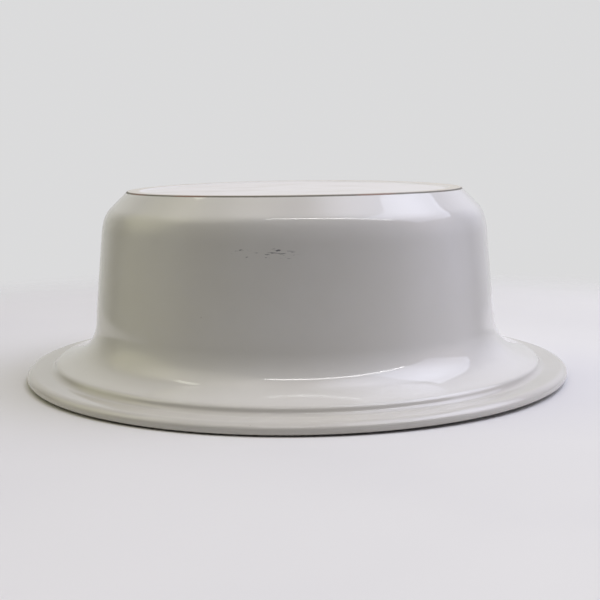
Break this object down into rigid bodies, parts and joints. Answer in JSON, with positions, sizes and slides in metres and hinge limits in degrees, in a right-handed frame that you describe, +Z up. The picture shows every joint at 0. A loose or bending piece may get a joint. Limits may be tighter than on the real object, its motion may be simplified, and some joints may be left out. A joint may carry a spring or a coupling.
{
  "type": "evaporating dish",
  "caption": "Round glazed porcelain evaporating dish with a deep flat-based bowl and a wide stepped flange, stored upside down on its rim.",
  "frame": {"origin": "centre of the circle that the flat rim rests on, at the bottom of the part as it is stored, mouth down", "axes": "+Z up along the axis that the dish is turned about, from the rim towards the foot. In use the dish is turned over, so its mouth opens along -Z here. X and Y are free"},
  "size_m": [0.3, 0.3, 0.1038],
  "materials": {
    "bare_porcelain": "bare fired porcelain, matt, its outer edge stained brown where the glaze stops",
    "outer_glaze": "glossy off-white glaze with faint waves, a few pinholes and short grey scuffs",
    "inner_glaze": "glossy off-white glaze, faintly worn on the floor of the bowl"
  },
  "bodies": {
    "root": {"porcelain_body": "bare_porcelain", "outer_glaze": "outer_glaze", "inner_glaze": "inner_glaze"}
  },
  "joints": []
}
